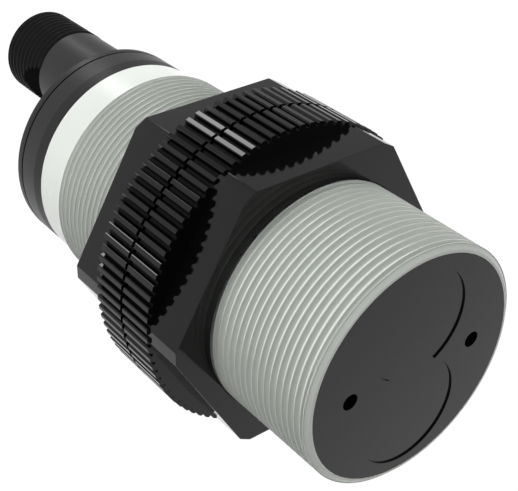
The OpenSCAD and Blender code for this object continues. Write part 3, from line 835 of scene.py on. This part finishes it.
class SENSOR_OT_nuts(bpy.types.Operator):
    """Builds the two fixing nuts with their ribbed flanges"""
    bl_idname = "sensor.nuts"
    bl_label = "Nuts"

    def execute(self, context):
        size = settings().nuts
        plastic = moulded("nut_plastic", size.colour, **SURFACES["nut_plastic"])
        groove = moulded("nut_groove", size.groove_colour, **SURFACES["nut_groove"])
        front = self.nut("front_nut_piece", size, (plastic, groove))
        middle = (FRONT_NUT_BOX[0].x + REAR_NUT_BOX[1].x) / 2
        mesh = front.data.copy()
        mirror = Matrix.Scale(-1, 4, (1, 0, 0))
        mesh.transform(Matrix.Translation((2 * middle, 0, 0)) @ mirror)
        mesh.flip_normals()
        rear = new_piece("rear_nut_piece", mesh)
        for piece, node, body in ((front, "front_nut", "front_fixing"), (rear, "rear_nut", "rear_fixing")):
            smooth_shaded(piece, NUT_SHARP, size.corners / 2 + RIB_ZONE, RIB_SHARP)
            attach(piece, body)
            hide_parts(node)
        return {"FINISHED"}

    def nut(self, name, size, materials):
        """The front nut, its hexagon to the front and its flange to the rear."""
        front, back, top = FRONT_NUT_BOX[1].x, FRONT_NUT_BOX[0].x, FRONT_NUT_BOX[1].z
        step, floor = front - size.hexagon, top - size.rib_height
        hexagon = prism(name, self.hexagon(size), step - size.overlap, front, size.hex_edge)
        piece = new_piece(name, hexagon)
        outline = rounded([
            (step, 0), (step, floor, FLANGE_EDGE), (back, floor, FLANGE_EDGE), (back, 0)])
        flange = new_piece("flange", cleaned(turned("flange", outline, 2 * size.ribs)))
        ribs = new_piece("ribs", self.rib(size, top, floor, back, step))
        grown(ribs, ring_of_tree(), {
            "Count": size.ribs, "First angle": size.first_rib, "Material": materials[0]})
        combined(piece, "UNION", flange, ribs)
        combined(piece, "DIFFERENCE", self.bore(size, front, back))
        piece.data.materials.clear()
        for material in materials:
            piece.data.materials.append(material)
        self.mark_grooves(size, cleaned(piece.data), top, floor, step)
        return piece

    def bore(self, size, front, back):
        """What the bore takes away, with a chamfer at each mouth."""
        radius = BARREL_BOX[1].z + size.clearance
        mouth, spare = radius + size.chamfer, MM
        outline = [
            (front + spare, 0), (front + spare, mouth), (front, mouth), (front - size.chamfer, radius),
            (back + size.chamfer, radius), (back, mouth), (back - spare, mouth), (back - spare, 0)]
        return new_piece("bore", cleaned(turned("bore", outline, NUT_STEPS)))

    def mark_grooves(self, size, mesh, top, floor, step):
        """Gives the floor between the ribs the duller second finish."""
        for face in mesh.polygons:
            out = Vector((0, face.center.y, face.center.z))
            between = floor - GROOVE_BELOW < out.length < top - 2 * size.rib_edge
            level = face.normal.angle(out) < math.radians(GROOVE_LEAN)
            if face.center.x < step and between and level:
                face.material_index = 1

    def hexagon(self, size):
        """Corners (y, z) of a hexagon with cut corners, its flats to the top and the bottom."""
        flat, cut = size.flats / 2, size.corners / 2
        reach = math.hypot(flat, self.half_flat(flat, cut))
        spread = math.acos(flat / reach)
        angles = [math.radians(90 + 60 * k) + side * spread for k in range(6) for side in (-1, 1)]
        return [(reach * math.cos(a), reach * math.sin(a)) for a in angles]

    def half_flat(self, flat, cut):
        """Half the length of a flat once the corners are cut."""
        turn = math.radians(30)
        return (cut - flat * math.cos(turn)) / math.sin(turn)

    def rib(self, size, top, floor, back, step):
        """One rib over +Y with chamfered edges, a little sunk in the flange."""
        pitch = TURN / size.ribs
        half_top = top * pitch * size.rib_top / 2
        half_foot = floor * pitch * (1 - size.rib_floor) / 2
        down = size.rib_edge * math.sin(size.edge_turn)
        outer = half_top + down * (half_foot - half_top) / (top - floor)
        inner = outer - size.rib_edge * math.cos(size.edge_turn)
        half = [(floor - size.sunk, half_foot), (floor, half_foot), (top - down, outer), (top, inner)]
        corners = [(y, -z) for y, z in half] + half[::-1]
        return prism("rib", corners, back, step, size.rib_bevel, 1)


class SENSOR_OT_cap(bpy.types.Operator):
    """Builds the end cap with its neck, threaded plug and socket"""
    bl_idname = "sensor.cap"
    bl_label = "End cap"

    def execute(self, context):
        size = settings().cap
        plastic = moulded("cap_plastic", size.colour, **SURFACES["cap_plastic"])
        piece = combined(self.cap(size), "DIFFERENCE", self.adjuster_hole(size))
        combined(piece, "UNION", self.plug(size, plastic))
        combined(piece, "DIFFERENCE", self.socket(size))
        piece.data.materials.clear()
        piece.data.materials.append(plastic)
        smooth_shaded(piece, CAP_SHARP)
        self.darken_thread_and_paint_flat_shade(size, piece.data)
        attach(piece, "sensor")
        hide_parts("end_cap")
        return {"FINISHED"}

    def cap(self, size):
        """The cap itself, with its front taper, fine groove and inner space."""
        radius = RING_BOX[1].z
        front = RING_BOX[0].x - size.joint
        back = -size.cap_end
        tip = CAP_BOX[1].x
        groove_front, groove_back = back + CAP_GROOVE_FRONT, back + CAP_GROOVE_BACK
        groove_foot = radius - CAP_GROOVE_DEPTH
        outline = rounded([
            (back + CAP_WALL, 0), (back + CAP_WALL, CAP_BORE), (tip, CAP_BORE), (tip, CAP_SPIGOT),
            (front, CAP_SPIGOT), (front, radius - CAP_TAPER_DROP, CAP_FRONT_EDGE),
            (front - CAP_TAPER, radius, CAP_SHOULDER_EDGE),
            (groove_front, radius, CAP_GROOVE_EDGE), (groove_front, groove_foot),
            (groove_back, groove_foot), (groove_back, radius, CAP_GROOVE_EDGE),
            (back + CAP_REAR_CHAMFER, radius, CAP_REAR_EDGE),
            (back, radius - CAP_REAR_CHAMFER, CAP_REAR_EDGE), (back, 0)])
        return new_piece("cap_and_plug", cleaned(turned("cap_and_plug", outline, CAP_STEPS)))

    def plug(self, size, plastic):
        """The neck and the threaded plug as one solid bar, open along the thread until it is grown."""
        radius, end = size.plug_radius, CAP_BOX[0].x
        foot, start, stop = -size.cap_end + PLUG_OVERLAP, -size.neck_end, end + size.chamfer
        neck = [(foot, 0), (foot, size.neck_radius), (start, size.neck_radius), (start, radius)]
        tip = rounded([(stop, radius), (end, radius - size.chamfer, PLUG_END_EDGE), (end, 0)])
        front = turned("plug", neck, PLUG_STEPS, size.offset)
        back = turned("plug_end", tip, PLUG_STEPS, size.offset)
        work = bmesh.new()
        work.from_mesh(front)
        work.from_mesh(back)
        work.to_mesh(front)
        work.free()
        bpy.data.meshes.remove(back)
        piece = grown(new_piece("plug", front), thread_tree(), {
            "Start": start, "Length": start - stop, "Radius": radius, "Up": size.offset,
            "Pitch": size.pitch, "Depth": size.depth, "Fade": PLUG_FADE, "Segments": PLUG_STEPS,
            "Material": plastic})
        cleaned(piece.data)
        combined(piece, "UNION", self.pad(size))
        return combined(piece, "DIFFERENCE", self.relief(size))

    def towards_relief(self, size, mesh):
        """Turns a mesh made over +Z to the side of the sloping flat and sets it on the plug's axis."""
        mesh.transform(Matrix.Rotation(size.relief_angle - math.radians(90), 4, "X"))
        mesh.transform(Matrix.Translation((0, 0, size.offset)))
        return mesh

    def pad(self, size):
        """Solid plastic under the sloping flat, where the thread's grooves would run otherwise."""
        points = []
        for k in range(PAD_SECTIONS + 1):
            left = (1 - k / (PAD_SECTIONS + 1)) ** 2
            height = size.plug_radius - size.relief_depth * left
            half = math.sqrt(size.plug_radius ** 2 - height ** 2)
            x = -size.neck_end - size.relief_length * (1 - left)
            low, high = height - size.relief_depth, height + PAD_SPARE
            points += [(x, -half, low), (x, half, low), (x, half, high), (x, -half, high)]
        last = 4 * PAD_SECTIONS
        faces = [[0, 1, 2, 3], [last, last + 1, last + 2, last + 3]]
        for first in range(0, last, 4):
            for i in range(4):
                j = (i + 1) % 4
                faces.append([first + i, first + j, first + 4 + j, first + 4 + i])
        return new_piece("pad", self.towards_relief(size, cleaned(mesh_from("pad", points, faces))))

    def relief(self, size):
        """The wedge that leaves the sloping flat beside the neck."""
        wide, above = size.plug_radius, size.plug_radius + MM
        start = -size.neck_end
        stop = start - size.relief_length
        along = [(start, wide - size.relief_depth), (start, above), (stop, above), (stop, wide)]
        points = [(x, side * wide, r) for side in (-1, 1) for x, r in along]
        faces = [[0, 1, 2, 3], [7, 6, 5, 4], [0, 4, 5, 1], [1, 5, 6, 2], [2, 6, 7, 3], [3, 7, 4, 0]]
        return new_piece("relief", self.towards_relief(size, cleaned(mesh_from("relief", points, faces))))

    def darken_thread_and_paint_flat_shade(self, size, mesh):
        """Gives the plug's thread a darker finish and the sloping flat a dull black of painted shade."""
        mesh.materials.append(moulded("plug_black", size.thread_colour, **SURFACES["plug_black"]))
        mesh.materials.append(finish("relief_painted_shade", RELIEF_PAINTED_SHADE, **RELIEF_SURFACE)[0])
        out = Vector((0, math.cos(size.relief_angle), math.sin(size.relief_angle)))
        tilt = math.atan2(size.relief_depth, size.relief_length)
        normal = out * math.cos(tilt) + Vector((1, 0, 0)) * math.sin(tilt)
        rear, front = CAP_BOX[0].x + size.chamfer, -size.neck_end + TINY
        lowest = size.plug_radius - 2 * size.relief_depth
        for face in mesh.polygons:
            reach = math.hypot(face.center.y, face.center.z - size.offset)
            if rear < face.center.x < front and reach > lowest:
                # Faces on the sloping flat get the painted shade, the rest of the thread the darker finish
                on_flat = face.normal.angle(normal) < math.radians(RELIEF_LEAN)
                face.material_index = 2 if on_flat else 1

    def socket(self, size):
        """The round socket through the plug and the neck, with room for the coding key at its top."""
        end = CAP_BOX[0].x - MM
        inner = -size.cap_end + CUT_REACH
        radius, half = size.socket_radius, size.key_width / 2
        outline = [(inner, 0), (inner, radius), (end, radius), (end, 0)]
        cutter = new_piece("socket", cleaned(turned("socket", outline, SOCKET_STEPS, size.offset)))
        top = size.offset + radius
        low, high = top - size.key_height, top + MM
        key = prism("key", [(-half, low), (half, low), (half, high), (-half, high)],
                    CAP_BOX[0].x + size.chamfer, CARRIER_BOX[0].x, 0)
        return combined(cutter, "DIFFERENCE", new_piece("key", key))

    def adjuster_hole(self, size):
        """The hole in which the adjuster turns."""
        face = -size.cap_end
        inner, end = face + CUT_REACH, face - MM
        up = (ADJUSTER_BOX[0].z + ADJUSTER_BOX[1].z) / 2
        mouth = HOLE_RADIUS + HOLE_CHAMFER + HOLE_SPARE
        outline = [
            (inner, 0), (inner, HOLE_RADIUS), (face + HOLE_CHAMFER, HOLE_RADIUS),
            (face - HOLE_SPARE, mouth), (end, mouth), (end, 0)]
        return new_piece("hole", cleaned(turned("hole", outline, HOLE_STEPS, up)))


class SENSOR_OT_finishes(bpy.types.Operator):
    """Gives every carried-over piece its own finish"""
    bl_idname = "sensor.finishes"
    bl_label = "Finishes"

    def execute(self, context):
        by_slot = {slot: moulded(slot, **values) for slot, values in CARRIED.items()}
        by_slot["lens_clear"] = finish("lens_clear", linear(LENS_SHOWN), **LENS_SURFACE)[0]
        for part in frame["record"]["subparts"]:
            material = by_slot.get(part["material_slot"])
            if material is not None:
                mesh = NODES[part["node"]].data
                mesh.materials.clear()
                mesh.materials.append(material)
        return {"FINISHED"}


class SENSOR_OT_stage(bpy.types.Operator):
    """Sets up the floor, the lamps and the camera"""
    bl_idname = "sensor.stage"
    bl_label = "Stage"

    def execute(self, context):
        size = settings().stage
        self.camera(size)
        self.floor()
        self.card()
        self.world()
        scene = context.scene
        scene.view_settings.view_transform = "Standard"
        for name, azimuth, elevation, width, power, seen in LAMPS:
            strength = size.key if seen == "glossy" else size.fill
            self.lamp(name, (azimuth, elevation), width, power * strength, seen)
        return {"FINISHED"}

    def camera(self, size):
        """A camera at the photograph's own viewpoint, with its off-centre line of sight."""
        data = bpy.data.cameras.new("camera")
        data.sensor_width = FILM_WIDTH
        data.lens = size.lens
        data.shift_x = (IMAGE_W / 2 - size.centre[0]) / IMAGE_W
        data.shift_y = (size.centre[1] - IMAGE_H / 2) / IMAGE_W
        data.clip_start, data.clip_end = CLIP_FROM, CLIP_TO
        camera = bpy.data.objects.new("camera", data)
        bpy.context.scene.collection.objects.link(camera)
        flat, rise = math.cos(size.elevation), math.sin(size.elevation)
        back = Vector((math.sin(size.azimuth) * flat, -math.cos(size.azimuth) * flat, rise))
        camera.rotation_mode = "QUATERNION"
        camera.rotation_quaternion = (-back).to_track_quat("-Z", "Y") @ Quaternion((0, 0, 1), size.roll)
        camera.location = size.eye
        bpy.context.scene.camera = camera

    def floor(self):
        """A plain pale floor at the object's lowest point, near white to the camera."""
        low = CAD_BOX[0].z
        corners = [(x * FLOOR_HALF, y * FLOOR_HALF, low) for x, y in SQUARE]
        floor = new_piece("floor", mesh_from("floor", corners, [[0, 1, 2, 3]]))
        material, net, shader = finish("floor_paper", PAPER_GREY, PAPER_ROUGHNESS, Specular_IOR_Level=0.0)
        share = seen_plainly(net) * FLOOR_SHARE
        glow = net.add("ShaderNodeEmission", None, {"Color": WHITE, "Strength": FLOOR_GLOW})
        both = net.add("ShaderNodeMixShader", None, {0: share, 1: shader.outputs[0], 2: glow.outputs[0]})
        net.fill(net.tree.nodes["Material Output"].inputs["Surface"], both.outputs[0])
        floor.data.materials.append(material)

    def card(self):
        """A grey card above and behind the object, which only shows in shiny surfaces."""
        way = Vector(CARD_WAY).normalized()
        turn = way.to_track_quat("Z", "Y").to_matrix()
        flat = [Vector((x * CARD_HALF, y * CARD_HALF, 0)) for x, y in SQUARE]
        corners = [turn @ corner + way * CARD_AWAY for corner in flat]
        card = new_piece("card", mesh_from("card", corners, [[0, 1, 2, 3]]))
        material, net, _ = finish("card_grey", PAPER_GREY, PAPER_ROUGHNESS)
        glow = net.add("ShaderNodeEmission", None, {"Color": WHITE, "Strength": CARD_GLOW})
        net.fill(net.tree.nodes["Material Output"].inputs["Surface"], glow.outputs[0])
        card.data.materials.append(material)
        for rays in ("camera", "diffuse", "transmission", "shadow", "volume_scatter"):
            setattr(card, "visible_" + rays, False)

    def world(self):
        """A plain white room that only the camera and shiny or clear surfaces see."""
        world = bpy.data.worlds.new("room")
        bpy.context.scene.world = world
        world.use_nodes = True
        net = Net(world.node_tree)
        background = net.tree.nodes["Background"]
        background.inputs["Color"].default_value = WHITE
        net.fill(background.inputs["Strength"], seen_plainly(net))

    def lamp(self, name, direction, width, power, seen):
        """A square lamp that shines on the sensor from a direction, for matt or for shiny surfaces."""
        data = bpy.data.lights.new(name, "AREA")
        data.size = width
        data.energy = power
        lamp = bpy.data.objects.new(name, data)
        bpy.context.scene.collection.objects.link(lamp)
        lamp.visible_glossy = seen == "glossy"
        lamp.visible_diffuse = seen == "diffuse"
        azimuth, elevation = (math.radians(value) for value in direction)
        flat = math.cos(elevation)
        way = Vector((math.cos(azimuth) * flat, math.sin(azimuth) * flat, math.sin(elevation)))
        lamp.location = Vector(LAMP_TARGET) + way * LAMP_AWAY
        lamp.rotation_mode = "QUATERNION"
        lamp.rotation_quaternion = (-way).to_track_quat("-Z", "Y")


class SENSOR_PT_panel(bpy.types.Panel):
    """Lists the sensor's pieces and its stage"""
    bl_idname = "SENSOR_PT_panel"
    bl_label = "Optical sensor"
    bl_space_type = "VIEW_3D"
    bl_region_type = "UI"
    bl_category = "Sensor"

    def draw(self, context):
        for name, operators in PANEL_ROWS:
            box = self.layout.box()
            group = getattr(settings(), name)
            for label in group.__annotations__:
                box.prop(group, label)
            for operator in operators:
                box.operator(operator.bl_idname)


PANEL_ROWS = (
    ("barrel", (SENSOR_OT_barrel,)),
    ("cover", (SENSOR_OT_cover,)),
    ("nuts", (SENSOR_OT_nuts,)),
    ("cap", (SENSOR_OT_cap, SENSOR_OT_finishes)),
    ("stage", (SENSOR_OT_stage,)),
)
CLASSES = (
    BarrelSettings, CoverSettings, NutSettings, CapSettings, StageSettings, SensorSettings,
    SENSOR_OT_barrel, SENSOR_OT_cover, SENSOR_OT_nuts, SENSOR_OT_cap, SENSOR_OT_finishes,
    SENSOR_OT_stage, SENSOR_PT_panel)


def register():
    """Registers the classes and adds the settings to every scene."""
    for made in CLASSES:
        bpy.utils.register_class(made)
    bpy.types.Scene.sensor_settings = bpy.props.PointerProperty(type=SensorSettings)


def unregister():
    """Takes the settings and the classes away again."""
    del bpy.types.Scene.sensor_settings
    for made in reversed(CLASSES):
        bpy.utils.unregister_class(made)


def main():
    """Builds every piece and the stage."""
    register()
    bpy.ops.sensor.barrel()
    bpy.ops.sensor.cover()
    bpy.ops.sensor.nuts()
    bpy.ops.sensor.cap()
    bpy.ops.sensor.finishes()
    bpy.ops.sensor.stage()


if __name__ == "__main__":
    main()
